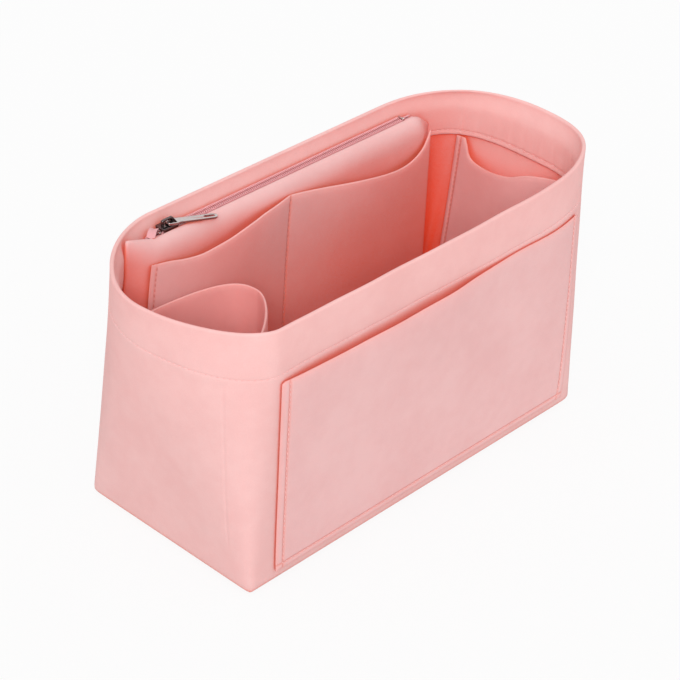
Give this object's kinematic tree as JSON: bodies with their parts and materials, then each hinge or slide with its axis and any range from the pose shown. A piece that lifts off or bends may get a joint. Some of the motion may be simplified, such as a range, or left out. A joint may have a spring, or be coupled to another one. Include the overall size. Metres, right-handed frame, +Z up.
{
  "type": "purse organizer insert",
  "caption": "Open felt tub that stands in a handbag, with outside and inside pockets, a bottle loop and a zipped pouch along the back.",
  "frame": {"origin": "middle of the underside of the base", "axes": "+X along the length towards the end pocket, -Y towards the outside pocket on the front, +Z up"},
  "size_m": [0.33, 0.1442, 0.17],
  "materials": {
    "body_felt": "matte pressed felt",
    "pocket_felt": "matte pressed felt",
    "zip_tape": "woven polyester tape",
    "zip_coil": "satin nylon coil",
    "zip_metal": "polished nickel plating"
  },
  "bodies": {
    "organizer": {"base_panel": "body_felt", "front_wall": "body_felt", "right_end_wall": "body_felt", "back_wall": "body_felt", "left_end_wall": "body_felt", "front_pocket_panel": "pocket_felt", "pouch_front_panel": "pocket_felt", "pouch_left_gusset": "pocket_felt", "pouch_right_gusset": "pocket_felt", "slip_pocket_panel": "pocket_felt", "bottle_holder_loop": "pocket_felt", "end_pocket_panel": "pocket_felt", "zip_tape_back": "zip_tape", "zip_tape_front": "zip_tape", "zip_coil_back": "zip_coil", "zip_coil_front": "zip_coil", "zip_top_stop_back": "zip_metal", "zip_top_stop_front": "zip_metal", "zip_bottom_stop": "zip_metal"},
    "zip_slider": {"slider_body": "zip_metal", "slider_bridge": "zip_metal"},
    "pull_tab": {"pull_tab": "zip_metal"}
  },
  "joints": [
    {"name": "zip_slide", "type": "slide", "parent": "organizer", "child": "zip_slider", "axis": [1, 0, 0], "range_m": [0, 0.185]},
    {"name": "pull_tab_flip", "type": "hinge", "parent": "zip_slider", "child": "pull_tab", "pos_m": [-0.086, 0.058, 0.16462], "axis": [-0.3256, -0.9455, 0], "range_deg": [0, 120]}
  ]
}
